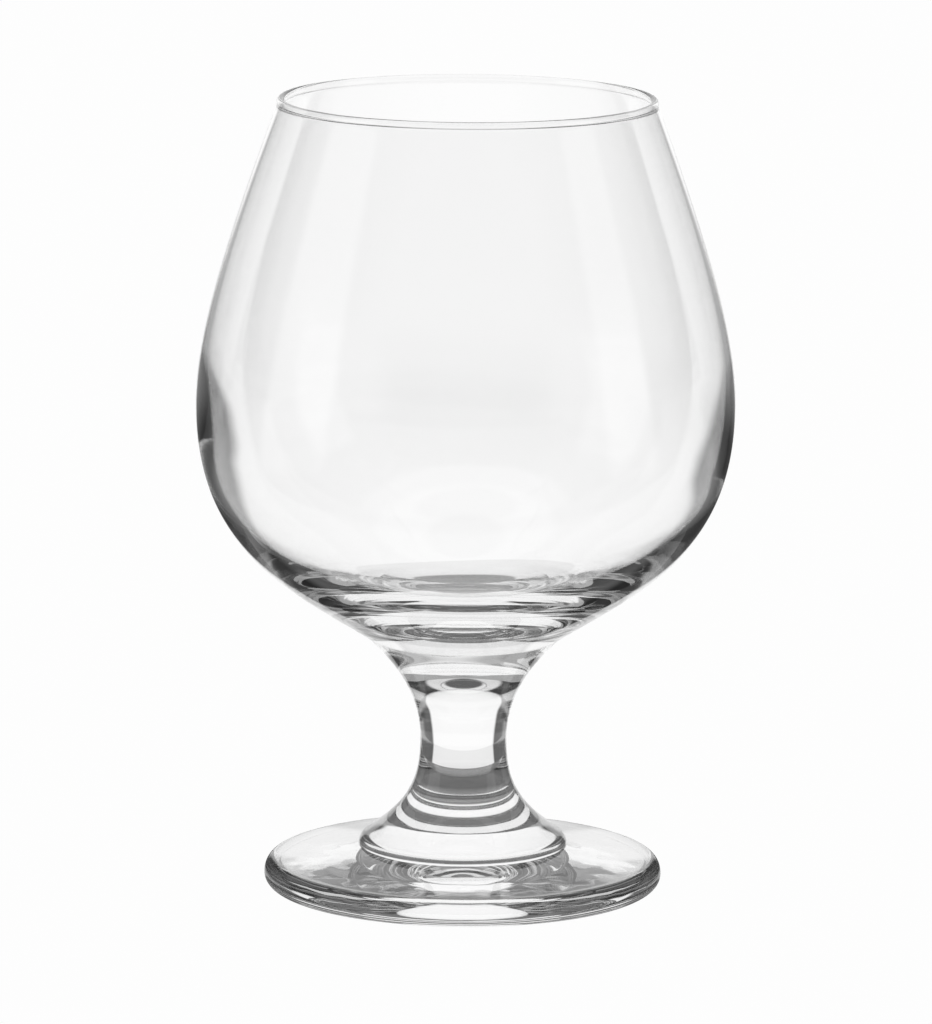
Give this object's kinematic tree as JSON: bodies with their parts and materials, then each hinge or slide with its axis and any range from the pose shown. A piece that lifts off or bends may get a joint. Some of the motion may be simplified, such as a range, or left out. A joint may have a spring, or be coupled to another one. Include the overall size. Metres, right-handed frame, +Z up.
{
  "type": "brandy snifter",
  "caption": "Clear glass brandy snifter: wide blown bowl closing to a narrower rim, short waisted stem with a stepped flare, and a round pressed foot.",
  "frame": {"origin": "on the axis of the glass, in the plane of the table it stands on", "axes": "+Z up along the axis of the glass towards its rim; X and Y lie in the plane of the table, and the glass is the same all round"},
  "size_m": [0.1012, 0.1012, 0.15],
  "materials": {
    "bowl_glass": "clear polished blown soda-lime glass with a fire-polished rim",
    "stem_glass": "clear solid glass, drawn and fire-polished, faintly wavy",
    "foot_glass": "clear pressed glass, faintly wavy top, fine mould parting round the edge"
  },
  "bodies": {
    "root": {"bowl": "bowl_glass", "stem": "stem_glass", "foot": "foot_glass"}
  },
  "joints": []
}
